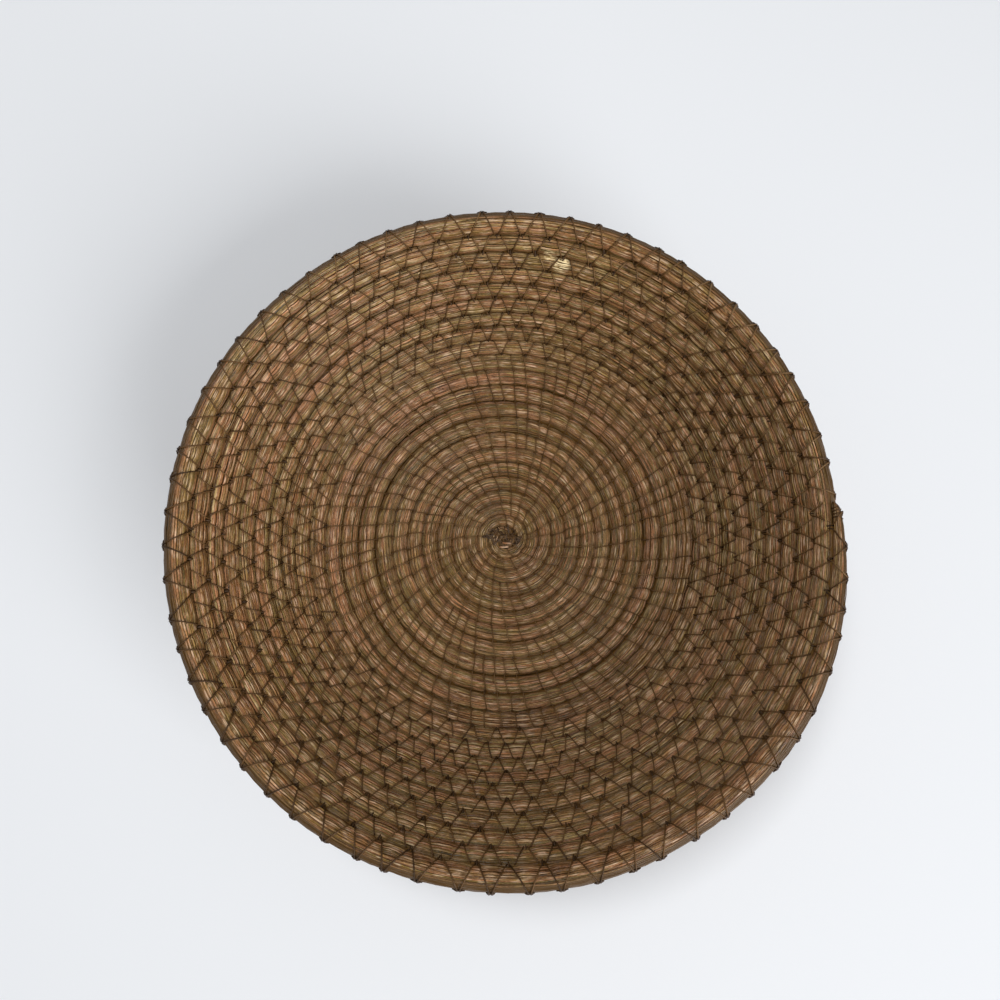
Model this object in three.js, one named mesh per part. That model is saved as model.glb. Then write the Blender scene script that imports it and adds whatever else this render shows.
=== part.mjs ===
// A coiled basket of pine needles: a shallow round bowl with a flat base.
// One bundle of needles is wound in a flat spiral for the base and climbs into a sloping wall.
// Thread holds each row to the row below it. The bundle tapers to a bound tip on the rim.
// Millimetres, +Z up. The origin is the centre of the underside, on the surface the basket stands on.
import * as THREE from "three";

// The bowl
const rimDiameter = 300; // outside of the rim row, halfway round its turn
const baseRadius = 82.5; // flat part of the base, to the line where the wall starts to turn up
const cornerRadius = 38; // the turn from base to wall
const wallSlope = 56; // degrees from the ground

// The needle bundle
const rowPitch = 8.6; // from one row to the next, along the base and up the wall
const rowThickness = 9.4; // of a full row, through the wall
const rowGap = 0.5; // left open between rows
const crownShare = 0.57; // flat part of a row's inside and outside, as a share of its width
const startRadius = 4; // the first turn, round the eye
const startPitch = 5.6; // the bundle is thinner there
const growTurns = 4.4; // turns over which the bundle nears its full size
const stepsPerTurn = 24;

// The bundle's end on the rim
const tipAngle = 7; // degrees from +X towards +Y, where the tip lies
const taperSteps = 3; // steps of the last turn over which the bundle thins
const tipShare = 0.36; // size of the bundle's end, as a share of a full row
const tipLift = 2.6; // room below the tip for the binding's wraps

// The thread
const threadDiameter = 0.9;
const threadClearance = 0.4; // between a thread and what it lies on
const stitchesPerTurn = 64; // V stitches in one turn of the rim row
const stitchMargin = 2; // stitches left out next to the tip
const tipWraps = 6;
const wrapPitch = 1.3;
const wrapInset = 3; // from the tip's end face to the first wrap
const pointsPerWrap = 8;
const knotCrown = 1.2; // height of the centre knot over the first turn

const radians = THREE.MathUtils.degToRad;
const slope = radians(wallSlope);
const up = new THREE.Vector3(0, 0, 1);

// The bowl's line, from the eye out to the rim: flat, then an arc, then straight up the wall.
const rimAxisRadius = rimDiameter / 2 - rowThickness / 2 + (rowPitch * Math.cos(slope)) / 2;
const arcLength = cornerRadius * slope;
const wallLength = (rimAxisRadius - baseRadius - cornerRadius * Math.sin(slope)) / Math.cos(slope);
const lineLength = baseRadius + arcLength + wallLength;

// The share of a full row that the bundle has reached after some turns from the eye
function growth(turns) {
  return 1 - (1 - startPitch / rowPitch) * Math.exp(-turns / growTurns);
}

// How far along the bowl's line the bundle lies after some turns from the eye
function distance(turns) {
  const held = (rowPitch - startPitch) * growTurns * (1 - Math.exp(-turns / growTurns));
  return startRadius + rowPitch * turns - held;
}

// The turns that it takes to wind the whole line
function countTurns() {
  let turns = lineLength / rowPitch;
  for (let pass = 0; pass < 20; pass += 1) {
    turns += (lineLength - distance(turns)) / rowPitch;
  }
  return turns;
}

const turnsInAll = countTurns();
const stepsInAll = Math.floor(turnsInAll * stepsPerTurn);
const firstTurn = turnsInAll - stepsInAll / stepsPerTurn;
const taperTurns = taperSteps / stepsPerTurn;

// Radius, height and slope of the bowl's line at a distance from the eye
function lineAt(along) {
  const turned = THREE.MathUtils.clamp((along - baseRadius) / cornerRadius, 0, slope);
  const climbed = Math.max(along - baseRadius - arcLength, 0);
  return {
    radius: Math.min(along, baseRadius) + cornerRadius * Math.sin(turned) + climbed * Math.cos(slope),
    height: cornerRadius * (1 - Math.cos(turned)) + climbed * Math.sin(slope),
    turned,
  };
}

// The bundle at a number of turns: its centre, its directions and its half sizes.
// across points along the bowl's line to the rim, and inward to the inside of the bowl.
// A row tilts only once its flat underside has left the base, so that nothing dips below the ground.
function bundleAt(turns) {
  const angle = radians(tipAngle) + 2 * Math.PI * (turns - turnsInAll);
  const left = Math.min((turnsInAll - turns) / taperTurns, 1);
  const taper = tipShare + (1 - tipShare) * Math.sin((left * Math.PI) / 2);
  const fullWidth = (rowPitch * growth(turns) - rowGap) / 2;
  const fullThickness = (rowThickness * growth(turns)) / 2;
  const lowered = fullWidth * (1 - taper) - (tipLift - rowGap) * (1 - left);
  const along = distance(turns) - lowered;
  const line = lineAt(along);
  const tilt = lineAt(along - fullWidth * crownShare).turned;
  const outward = new THREE.Vector3(Math.cos(angle), Math.sin(angle), 0);
  return {
    centre: outward.clone().multiplyScalar(line.radius).addScaledVector(up, line.height + fullThickness),
    across: outward.clone().multiplyScalar(Math.cos(tilt)).addScaledVector(up, Math.sin(tilt)),
    inward: outward.clone().multiplyScalar(-Math.sin(tilt)).addScaledVector(up, Math.cos(tilt)),
    halfWidth: fullWidth * taper,
    halfThickness: fullThickness * taper,
  };
}

// A point beside the bundle's centre
function beside(bundle, across, inward) {
  return bundle.centre.clone().addScaledVector(bundle.across, across).addScaledVector(bundle.inward, inward);
}

// The six corners of the bundle's section, flat on its inside and its outside
function sectionOf(bundle) {
  const side = bundle.halfWidth;
  const flat = side * crownShare;
  const face = bundle.halfThickness;
  return [
    beside(bundle, side, 0),
    beside(bundle, flat, face),
    beside(bundle, -flat, face),
    beside(bundle, -side, 0),
    beside(bundle, -flat, -face),
    beside(bundle, flat, -face),
  ];
}

// One closed tube through a row of sections with as many corners each
function sweep(sections) {
  const corners = sections[0].length;
  const positions = sections.flat().flatMap((point) => point.toArray());
  const faces = [];
  for (let ring = 0; ring + 1 < sections.length; ring += 1) {
    for (let corner = 0; corner < corners; corner += 1) {
      const near = ring * corners + corner;
      const next = ring * corners + ((corner + 1) % corners);
      faces.push(near, next + corners, next);
      faces.push(near, near + corners, next + corners);
    }
  }
  const last = (sections.length - 1) * corners;
  for (let corner = 1; corner + 1 < corners; corner += 1) {
    faces.push(0, corner, corner + 1);
    faces.push(last, last + corner + 1, last + corner);
  }
  const geometry = new THREE.BufferGeometry();
  geometry.setAttribute("position", new THREE.Float32BufferAttribute(positions, 3));
  geometry.setIndex(faces);
  geometry.computeVertexNormals();
  return geometry;
}

// A thread through a row of places, each with a point and a direction that points away from the needles
function threadAlong(places) {
  const radius = threadDiameter / 2;
  const sections = places.map(({ point, away }, index) => {
    const before = places[Math.max(index - 1, 0)].point;
    const after = places[Math.min(index + 1, places.length - 1)].point;
    const ahead = after.clone().sub(before).normalize();
    const side = away.clone().cross(ahead).normalize();
    const out = ahead.clone().cross(side);
    return [
      point.clone().addScaledVector(out, radius),
      point.clone().addScaledVector(side, radius),
      point.clone().addScaledVector(out, -radius),
      point.clone().addScaledVector(side, -radius),
    ];
  });
  return sweep(sections);
}

// The turns at which the bundle bends, the same angles in each turn
function stationsBetween(from, to) {
  const stations = [];
  for (let step = 0; step <= stepsInAll; step += 1) {
    const turns = firstTurn + step / stepsPerTurn;
    if (turns > from - 1e-9 && turns < to + 1e-9) stations.push(turns);
  }
  return stations;
}

// The bundle's section anywhere, on the straight run between two bends
function sectionBetween(turns) {
  const steps = (turns - firstTurn) * stepsPerTurn;
  const step = Math.min(Math.floor(steps + 1e-9), stepsInAll - 1);
  const share = steps - step;
  const near = sectionOf(bundleAt(firstTurn + step / stepsPerTurn));
  const far = sectionOf(bundleAt(firstTurn + (step + 1) / stepsPerTurn));
  return near.map((corner, index) => corner.clone().lerp(far[index], share));
}

// Points along the edges of a section
function edgePoints(section) {
  const pointsPerEdge = 6;
  return section.flatMap((corner, index) => {
    const next = section[(index + 1) % section.length];
    return Array.from({ length: pointsPerEdge }, (_, step) => corner.clone().lerp(next, step / pointsPerEdge));
  });
}

function leastDistance(points, others) {
  return Math.min(...points.map((point) => Math.min(...others.map((other) => point.distanceTo(other)))));
}

// The least gap between a row and the row outside it, at each bend and halfway between bends
function leastCoilGap() {
  const halfStep = 0.5 / stepsPerTurn;
  let least = Infinity;
  for (let turns = firstTurn; turns <= turnsInAll - 1; turns += halfStep) {
    const row = edgePoints(sectionBetween(turns));
    const nextRow = edgePoints(sectionBetween(turns + 1));
    least = Math.min(least, leastDistance(row, nextRow));
  }
  return least;
}

// Where a thread lies in the groove between a row and the row outside it, as deep as its clearance lets it
function grooveAt(turns) {
  const lower = sectionBetween(turns);
  const upper = sectionBetween(turns + 1);
  const row = bundleAt(turns);
  const away = row.inward.clone().add(bundleAt(turns + 1).inward).normalize();
  const bottom = lower[0].clone().add(upper[3]).multiplyScalar(0.5);
  const walls = edgePoints(lower).concat(edgePoints(upper));
  const clear = threadDiameter / 2 + threadClearance;
  const liftStep = 0.1;
  let lift = 0;
  while (leastDistance([bottom.clone().addScaledVector(away, lift)], walls) < clear) lift += liftStep;
  return { point: bottom.addScaledVector(away, lift), away };
}

// The pine needle bundle, wound from the eye to the tip
function makeNeedleCoil() {
  return sweep(stationsBetween(firstTurn, turnsInAll).map((turns) => sectionOf(bundleAt(turns))));
}

// The knotted start that fills the eye: narrow between the needles, wider below and over the first turn
function makeCentreKnot() {
  const first = bundleAt(firstTurn);
  const radius = lineAt(distance(firstTurn)).radius;
  const mouth = radius - first.halfWidth * crownShare - threadClearance * 2;
  const waist = radius - first.halfWidth - threadClearance * 1.2;
  const middle = first.halfThickness;
  const top = 2 * bundleAt(firstTurn + 1).halfThickness + threadClearance;
  const profile = [
    new THREE.Vector2(0, 0),
    new THREE.Vector2(mouth, 0),
    new THREE.Vector2(waist, middle),
    new THREE.Vector2(mouth, top),
    new THREE.Vector2(radius, top),
    new THREE.Vector2(radius * 0.7, top + knotCrown * 0.8),
    new THREE.Vector2(0, top + knotCrown),
  ];
  const sides = 16;
  const geometry = new THREE.LatheGeometry(profile, sides);
  geometry.rotateX(Math.PI / 2);
  return geometry;
}

// Thread in the grooves of the base and of the wall. They meet where the base turns up.
const firstGroove = firstTurn + 2 / stepsPerTurn;
const baseTurns = (baseRadius - startRadius + (rowPitch - startPitch) * growTurns) / rowPitch;
const lastGroove = turnsInAll - 2 - 1 / stepsPerTurn;

function makeBaseStitching() {
  return threadAlong(stationsBetween(firstGroove, baseTurns).map(grooveAt));
}

function makeWallStitching() {
  const wallGrooves = stationsBetween(baseTurns, lastGroove);
  return threadAlong(wallGrooves.slice(1).map(grooveAt));
}

// One V stitch of the rim: from a knot in the last groove, over the rim row to its top edge and back.
// Each place is a share of the stitch and a place on the row's section.
function rimStitchPlaces(turns) {
  const spacing = 1 / stitchesPerTurn;
  const clear = threadDiameter / 2 + threadClearance;
  const over = (share, across, inward, liftAcross, liftInward) => {
    const bundle = bundleAt(turns + share * spacing);
    const section = sectionBetween(turns + share * spacing);
    const middle = section[0].clone().add(section[3]).multiplyScalar(0.5);
    const away = bundle.across.clone().multiplyScalar(liftAcross).addScaledVector(bundle.inward, liftInward);
    const point = middle
      .addScaledVector(bundle.across, across * bundle.halfWidth + clear * liftAcross)
      .addScaledVector(bundle.inward, inward * bundle.halfThickness + clear * liftInward);
    return { point, away: away.normalize() };
  };
  return [
    grooveAt(turns - 1),
    over(0.14, -crownShare, 1, -0.8, 1),
    over(0.34, crownShare, 1, 0.6, 1.1),
    over(0.45, 1, 0, 1.2, 0.4),
    over(0.55, 1, 0, 1.2, 0.4),
    over(0.66, crownShare, 1, 0.6, 1.1),
    over(0.86, -crownShare, 1, -0.8, 1),
  ];
}

// The zigzag over the rim row, from just after the tip round to the start of the taper
function makeRimStitching() {
  const stitches = Math.floor((1 - taperTurns) * stitchesPerTurn) - 2 * stitchMargin;
  const places = [];
  for (let stitch = 0; stitch < stitches; stitch += 1) {
    const turns = turnsInAll - 1 + (stitch + stitchMargin) / stitchesPerTurn;
    places.push(...rimStitchPlaces(turns));
  }
  return threadAlong(places);
}

// The binding round the tip: a close helix just short of the end face
function makeTipBinding() {
  const end = bundleAt(turnsInAll);
  const lastBend = bundleAt(turnsInAll - 1 / stepsPerTurn);
  const run = lastBend.centre.clone().sub(end.centre);
  const lift = threadDiameter / 2 + threadClearance;
  const cornerRoom = 1.3;
  const places = [];
  for (let step = 0; step <= tipWraps * pointsPerWrap; step += 1) {
    const wraps = step / pointsPerWrap;
    const share = (wrapInset + wraps * wrapPitch) / run.length();
    const round = 2 * Math.PI * wraps;
    const halfWidth = THREE.MathUtils.lerp(end.halfWidth, lastBend.halfWidth, share) * cornerRoom + lift;
    const halfThickness = THREE.MathUtils.lerp(end.halfThickness, lastBend.halfThickness, share) * cornerRoom + lift;
    const away = end.across
      .clone()
      .multiplyScalar(halfWidth * Math.cos(round))
      .addScaledVector(end.inward, halfThickness * Math.sin(round));
    const point = end.centre.clone().addScaledVector(run, share).add(away);
    places.push({ point, away: away.clone().normalize() });
  }
  return threadAlong(places);
}

function surface(colour, roughness) {
  return new THREE.MeshStandardMaterial({ color: new THREE.Color(...colour), roughness, metalness: 0 });
}

const needles = surface([0.3, 0.17, 0.08], 0.6);
const thread = surface([0.11, 0.06, 0.03], 0.7);

const basket = new THREE.Group();

function addPiece(name, geometry, material) {
  const mesh = new THREE.Mesh(geometry, material);
  mesh.name = name;
  basket.add(mesh);
}

addPiece("needle_coil", makeNeedleCoil(), needles);
addPiece("centre_knot", makeCentreKnot(), thread);
addPiece("base_stitching", makeBaseStitching(), thread);
addPiece("wall_stitching", makeWallStitching(), thread);
addPiece("rim_stitching", makeRimStitching(), thread);
addPiece("tip_binding", makeTipBinding(), thread);

console.log(`needle_coil: ${turnsInAll.toFixed(2)} turns, least gap to itself ${leastCoilGap().toFixed(2)} mm`);

export default basket;
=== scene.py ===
# A coiled pine needle basket, seen from above into the bowl.
# Single needles lie in one bundle that winds from the eye to the tip, and thread stitches bind the rows.
import math
import bpy
import numpy as np
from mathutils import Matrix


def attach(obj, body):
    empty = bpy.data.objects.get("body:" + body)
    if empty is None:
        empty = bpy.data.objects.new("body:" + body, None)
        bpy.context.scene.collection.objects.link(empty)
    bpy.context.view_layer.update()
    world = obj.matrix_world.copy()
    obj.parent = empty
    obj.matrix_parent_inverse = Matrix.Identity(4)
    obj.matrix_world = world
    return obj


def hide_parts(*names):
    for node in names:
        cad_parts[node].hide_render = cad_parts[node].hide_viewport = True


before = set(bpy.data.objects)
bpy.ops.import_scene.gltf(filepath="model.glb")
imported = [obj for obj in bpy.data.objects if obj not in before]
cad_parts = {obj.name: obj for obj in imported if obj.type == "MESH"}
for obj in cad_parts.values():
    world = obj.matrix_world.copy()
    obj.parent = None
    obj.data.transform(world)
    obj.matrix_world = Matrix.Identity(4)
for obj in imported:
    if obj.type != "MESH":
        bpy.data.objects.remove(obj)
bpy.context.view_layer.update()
bpy.ops.object.select_all(action="DESELECT")
chance = np.random.default_rng(7)
fullTurn = 2 * math.pi
up = np.array([0.0, 0.0, 1.0])
print("frame loaded:", ", ".join(sorted(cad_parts)))


# Camera: the picture is taken by hand from above, tipped a little to the far side
picture = {
    "place": (-0.00154, -0.03887, 0.3976),
    "tip": (8.64, 0.15, 0.0),   # degrees
    "lens": 27.04,              # mm, on a 36 mm sensor
}


def addCamera():
    bpy.ops.object.camera_add(location=picture["place"], rotation=[math.radians(a) for a in picture["tip"]])
    camera = bpy.context.object
    camera.name = "camera"
    camera.data.lens = picture["lens"]
    camera.data.sensor_width = 36
    camera.data.clip_start = 0.01
    bpy.context.scene.camera = camera


addCamera()
print("camera placed")


# The bowl's line and the bundle that winds along it, in metres
bowl = {
    "rimDiameter": 0.300,    # outside of the rim row, halfway round its turn
    "baseRadius": 0.0825,
    "cornerRadius": 0.038,
    "wallSlope": math.radians(56),
}
bundle = {
    "pitch": 0.0086,         # from row to row
    "thickness": 0.0094,
    "startRadius": 0.004,    # the first turn, round the eye
    "startPitch": 0.0056,
    "growTurns": 4.4,        # how slowly the first rows grow to full size
    "drawnIn": 0.0022,       # the inner rows are drawn in by this much, most of all round this turn,
    "drawnMiddle": 5.5,      # and out to this many turns from it
    "drawnReach": 4.6,
    "tipAngle": math.radians(7),
    "shortBy": 0.0082,       # the needles stop this much of a turn before the end of the line
    "taperTurns": 0.125,     # the bundle thins over this much of the last turn
    "tipShare": 0.32,        # to this share of its size
    "tipRound": 0.0055,      # and ends round over this much,
    "tipEnd": 0.12,          # down to this share of that
    "flat": 0.57,            # a row tilts as the line does this share of half a row further in
    "squareness": (2.15, 2.45),     # of the base's rows and the wall's; 2 is an ellipse
    "squareTurns": (9, 13.5),
    "press": 1.19,           # half width of a row against half the pitch
    "waver": 0.00020,        # the rows aren't wound quite true: a slow wave, and a quick one
    "quickWaver": 0.7,       # of this share
}
slope = bowl["wallSlope"]
rimAxis = bowl["rimDiameter"] / 2 - bundle["thickness"] / 2 + bundle["pitch"] * math.cos(slope) / 2
arcLength = bowl["cornerRadius"] * slope
wallLength = (rimAxis - bowl["baseRadius"] - bowl["cornerRadius"] * math.sin(slope)) / math.cos(slope)
lineLength = bowl["baseRadius"] + arcLength + wallLength


# Size of a row against a full one. The first rows are smaller.
def growth(turns):
    return 1 - (1 - bundle["startPitch"] / bundle["pitch"]) * np.exp(-turns / bundle["growTurns"])


# How far along the bowl's line a row lies, from the middle of the base
def distance(turns):
    missing = bundle["pitch"] - bundle["startPitch"]
    held = missing * bundle["growTurns"] * (1 - np.exp(-turns / bundle["growTurns"]))
    held = held + bundle["drawnIn"] * np.exp(-((turns - bundle["drawnMiddle"]) / bundle["drawnReach"]) ** 4)
    return bundle["startRadius"] + bundle["pitch"] * turns - held


# The turns that fill the line, found step by step
def countTurns():
    turns = lineLength / bundle["pitch"]
    for _ in range(20):
        turns += (lineLength - distance(turns)) / bundle["pitch"]
    return turns


# Radius, height and slope of the bowl's line: flat, then a bend, then the straight wall
def lineAt(along):
    turned = np.clip((along - bowl["baseRadius"]) / bowl["cornerRadius"], 0, slope)
    climbed = np.maximum(along - bowl["baseRadius"] - arcLength, 0)
    radius = np.minimum(along, bowl["baseRadius"]) + bowl["cornerRadius"] * np.sin(turned)
    height = bowl["cornerRadius"] * (1 - np.cos(turned))
    return radius + climbed * math.cos(slope), height + climbed * math.sin(slope), turned


turnsInAll = countTurns()
lastTurn = turnsInAll - bundle["shortBy"]
firstTurn = 0.02
rimStart = turnsInAll - 1
openEdgeStart = rimStart - 0.02     # from here on no row lies against the outer edge
fullHalfWidth = bundle["pitch"] * bundle["press"] / 2


def angleAt(turns):
    return bundle["tipAngle"] + fullTurn * (turns - turnsInAll)


# The level direction at an angle round the basket
def pointing(angle):
    return np.stack([np.cos(angle), np.sin(angle), 0 * angle], -1)


# Length of a whole turn of the coil
def lengthRound(turns):
    return fullTurn * lineAt(distance(turns))[0]


def tiltAt(turns):
    return lineAt(distance(turns) - bundle["pitch"] * growth(turns) / 2 * bundle["flat"])[2]


def rowAt(turns):
    turns = np.asarray(turns, float)
    angle = angleAt(turns)
    left = np.clip((lastTurn - turns) / bundle["taperTurns"], 0, 1)
    taper = bundle["tipShare"] + (1 - bundle["tipShare"]) * np.sin(left * math.pi / 2)
    end = np.clip((lastTurn - turns) / bundle["tipRound"], 0, 1)
    taper = taper * np.maximum(np.sqrt(1 - (1 - end) ** 2), bundle["tipEnd"])
    fullWidth = bundle["pitch"] * growth(turns) / 2
    fullThickness = bundle["thickness"] * growth(turns) / 2
    along = distance(turns) - fullWidth * (1 - taper)
    slowWave = np.sin(3 * angle + turns) * np.sin(1.7 * turns)
    quickWave = np.sin(8 * angle + 2.6 * turns)
    along = along + bundle["waver"] * growth(turns) * (slowWave + bundle["quickWaver"] * quickWave)
    radius, height, _ = lineAt(along)
    tilt = lineAt(along - fullWidth * bundle["flat"])[2]
    outward = pointing(angle)
    cos, sin = np.cos(tilt)[..., None], np.sin(tilt)[..., None]
    return {
        "turns": turns,
        "centre": outward * radius[..., None] + up * (height + fullThickness)[..., None],
        "across": outward * cos + up * sin,
        "inward": up * cos - outward * sin,
        "halfWidth": fullWidth * taper * bundle["press"],
        "halfThickness": fullThickness * taper,
        "radius": radius,
    }


# Places on the section by angle: 0 is towards the rim and 90 degrees is the bowl's inside.
# The section is a rounded square of half size 1, as the rows press each other square.
def squarenessAt(turns):
    return np.interp(turns, bundle["squareTurns"], bundle["squareness"])


def sectionPlace(section, turns):
    cos, sin = np.cos(section), np.sin(section)
    power = squarenessAt(turns)
    reach = (np.abs(cos) ** power + np.abs(sin) ** power) ** (-1 / power)
    return reach * cos, reach * sin


# The angle of the place on the inside that is this share of the way across, from -1 to 1
def sectionOf(share, turns):
    share = np.asarray(share, float)
    power = squarenessAt(turns)
    height = (1 - np.abs(share) ** power) ** (1 / power)
    return np.arctan2(height, share)


# How far along its way a leg of thread is at a place on the section, from its hole in the row before, 0,
# to the seam with the next row, 1. On the inside a leg looks straight to a viewer over the bowl.
# On the outside it goes by the way across the row.
def legShare(section, turns, back=0, lastSection=None):
    tilt = tiltAt(turns)
    radius, height, _ = lineAt(distance(turns))
    spread = radius / (picture["place"][2] - height)

    def outward(angle, rowsBack):
        across, inward = sectionPlace(angle, turns)
        across = across * bundle["press"] / 2 + rowsBack
        inward = inward * bundle["thickness"] / bundle["pitch"] / 2
        sideways = across * np.cos(tilt) - inward * np.sin(tilt)
        return sideways + spread * (across * np.sin(tilt) + inward * np.cos(tilt))

    start = outward(sectionOf(stitches["holeShare"], turns), -1)
    end = outward(sectionOf(stitches["seamShare"], turns) if lastSection is None else lastSection, 0)
    return (outward(section, back) - start) / (end - start)


# A point on the bundle's skin, or lifted off it, and the way that points away from the bundle there
def onSection(row, section, lift):
    across, inward = sectionPlace(section, row["turns"])
    power = squarenessAt(row["turns"]) - 1
    acrossAway = np.sign(across) * np.abs(across) ** power
    inwardAway = np.sign(inward) * np.abs(inward) ** power
    size = np.hypot(acrossAway, inwardAway)
    acrossAway, inwardAway = acrossAway / size, inwardAway / size
    across = across * row["halfWidth"] + lift * acrossAway
    inward = inward * row["halfThickness"] + lift * inwardAway
    point = row["centre"] + row["across"] * across[..., None] + row["inward"] * inward[..., None]
    away = row["across"] * acrossAway[..., None] + row["inward"] * inwardAway[..., None]
    return point, away


# Mesh helpers
def keepAbove(points, height):
    points[..., 2] = np.maximum(points[..., 2], height)


def normalised(vectors):
    return vectors / np.linalg.norm(vectors, axis=-1, keepdims=True)


def tubeFaces(rings, sides):
    ring = np.arange(rings - 1)[:, None] * sides
    corner = np.arange(sides)[None, :]
    after = (corner + 1) % sides
    quads = np.stack([ring + corner, ring + after, ring + sides + after, ring + sides + corner], -1)
    quads = quads.reshape(-1, 4)
    nearCap = np.arange(sides)[::-1]
    farCap = (rings - 1) * sides + np.arange(sides)
    return quads, nearCap, farCap


# Many tubes in one mesh, each given by its points, the way that points off the bundle, and its radii.
# The first corner of each ring is on the hidden side. The girth is the way round a tube, for the map.
class TubeMesh:
    def __init__(self, sides, flatness=1.0, girth=0.003):
        self.sides = sides
        self.flatness = flatness
        self.girth = girth
        self.points = []
        self.faces = []
        self.grain = []
        self.tone = []
        self.shade = []
        self.hue = []
        self.lengths = []
        self.count = 0

    def add(self, path, away, radii, tone, shade=0.0, hue=0.0):
        rings = len(path)
        ahead = normalised(np.gradient(path, axis=0))
        side = normalised(np.cross(away, ahead))
        out = np.cross(ahead, side)
        turn = fullTurn * (np.arange(self.sides) + 0.5) / self.sides
        radii = np.broadcast_to(radii, (rings,))[:, None, None]
        spread = np.sin(turn)[None, :, None] * side[:, None, :]
        rise = -np.cos(turn)[None, :, None] * out[:, None, :] * self.flatness
        corners = path[:, None, :] + radii * (spread + rise)
        self.addRings(corners, path, turn[None, :] * radii[:, :, 0], tone, shade, hue)

    def addRings(self, corners, path, around, tone, shade=0.0, hue=0.0):
        rings = len(path)
        self.points.append(corners.reshape(-1, 3))
        quads, nearCap, farCap = tubeFaces(rings, self.sides)
        self.faces.append((quads + self.count, nearCap + self.count, farCap + self.count))
        self.count += rings * self.sides
        steps = np.linalg.norm(np.diff(path, axis=0), axis=1)
        self.lengths.append(steps)
        grain = np.empty((rings, self.sides, 3))
        grain[..., 0] = np.concatenate([[0.0], np.cumsum(steps)])[:, None]
        grain[..., 1] = around
        grain[..., 2] = chance.uniform(0, 50)
        self.grain.append(grain.reshape(-1, 3))
        self.tone.append(np.repeat(np.broadcast_to(tone, (rings,)), self.sides))
        self.shade.append(np.repeat(np.broadcast_to(shade, (rings,)), self.sides))
        self.hue.append(np.full(rings * self.sides, hue))

    # One long strip of map, broken into lines that fill the square, each with a margin
    def mapCorners(self):
        steps = np.concatenate(self.lengths)
        width = math.sqrt(steps.sum() * self.girth) * 1.01
        lineWidth = width * 0.985    # which leaves room for the last step of a line
        lines = math.ceil(steps.sum() / lineWidth) + 1
        start = np.concatenate([[0.0], np.cumsum(steps)[:-1]])
        line = np.floor(start / lineWidth)
        left = (start - line * lineWidth) / width
        right = left + steps / width
        margin = 0.08
        side = (1 - 2 * margin) / self.sides
        low = (line[:, None] + margin + side * np.arange(self.sides)) / lines
        high = low + side / lines
        left = np.broadcast_to(left[:, None], low.shape)
        right = np.broadcast_to(right[:, None], low.shape)
        quads = np.stack([left, low, left, high, right, high, right, low], -1)
        return quads.reshape(-1, 4, 2)

    def build(self, name, finish):
        points = np.concatenate(self.points)
        quads = np.concatenate([f[0] for f in self.faces])
        caps = [cap.tolist() for f in self.faces for cap in f[1:]]
        mesh = bpy.data.meshes.new(name)
        mesh.from_pydata(points.tolist(), [], quads.tolist() + caps)
        layer = mesh.uv_layers.new(name="OFBake")
        corners = np.zeros((len(mesh.loops), 2))
        corners[: len(quads) * 4] = self.mapCorners().reshape(-1, 2)
        # The caps share a small corner of the map
        corners[len(quads) * 4:] = chance.uniform(0.0, 0.004, (len(mesh.loops) - len(quads) * 4, 2))
        layer.data.foreach_set("uv", corners.ravel())
        for key, kind, field, values in (
            ("grain", "FLOAT_VECTOR", "vector", np.concatenate(self.grain)),
            ("tone", "FLOAT", "value", np.concatenate(self.tone)),
            ("shade", "FLOAT", "value", np.concatenate(self.shade)),
            ("hue", "FLOAT", "value", np.concatenate(self.hue)),
        ):
            mesh.attributes.new(key, kind, "POINT").data.foreach_set(field, values.ravel())
        mesh.polygons.foreach_set("use_smooth", [True] * len(mesh.polygons))
        mesh.materials.append(finish)
        mesh.update()
        piece = bpy.data.objects.new(name, mesh)
        bpy.context.scene.collection.objects.link(piece)
        print(name, len(quads) * 2 + len(caps) * (self.sides - 2), "triangles")
        return piece


# Where the stitches go. A leg is one stretch of thread across a row, on the inside or the outside,
# from its place at the row's inner edge to its place at the outer edge, in turns of the coil.
stitches = {
    "threadRadius": 0.00032,
    "closest": 0.0062,       # room beside a base stitch at the eye, past which another is put in
    "spread": 0.066,         # growth of that room for each metre of radius
    "firstShare": 0.8,       # the first stitches are this share of the closest room apart
    "crowded": 0.35,         # a stitch with less than this share of its room is left out
    "lean": 0.0016,          # a base stitch leans this much on its way over the row,
    "leans": (0.6, 1.4),     # more or less
    "wallStart": 12.35,      # turns at which the V stitches begin,
    "baseClear": 0.01,       # and that the base stitches end before them
    "wideCount": 51,         # V stitches a turn in the first row of them
    "wallCount": 64.5,       # and above it
    "wallStray": 0.0009,     # turns that a V strays from its place
    "freeEnd": 0.003,        # turns of the tip that no V is on
    "apex": 0.035,           # how far a V's legs part at its point, as a share of the room,
    "open": 0.37,            # at its top on the wall
    "rimOpen": 0.472,        # and over the rim,
    "opens": (0.88, 1.1),    # more or less
    "holeShare": 0.70,       # a leg's hole is this share of the way across the row before,
    "seamShare": 0.92,       # and it dives into the seam at this share of its own
    "proud": 0.62,           # share of its radius that the thread's middle lies above the needles
    "stray": 0.0004,         # how far a base stitch strays from its line
    "bow": 0.00022,          # how far a leg bows to one side
    "pinch": 0.00036,        # how deep a stitch pulls into the needles
    "pillow": 0.00030,       # and how much the needles crown between stitches
    "girths": (0.85, 1.15),  # thinnest and thickest leg
    "baseGirth": 0.92,       # the base's thread is finer,
    "baseTone": 0.18,        # and lighter
    "tones": (-0.15, 0.25),  # darkest and lightest leg
    "proudLight": 0.25,          # how much lighter the thread is painted where it stands proud, as light, leaving it darkest in the seams, as shade,
    "held": 0.25,            # and how much more painted light the thread gets on the lit side
    "litSideAngle": 40,          # degrees from +X of that side
}
firstStitch = 0.35           # turns
deepestDip = stitches["pinch"] + stitches["pillow"]


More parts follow.
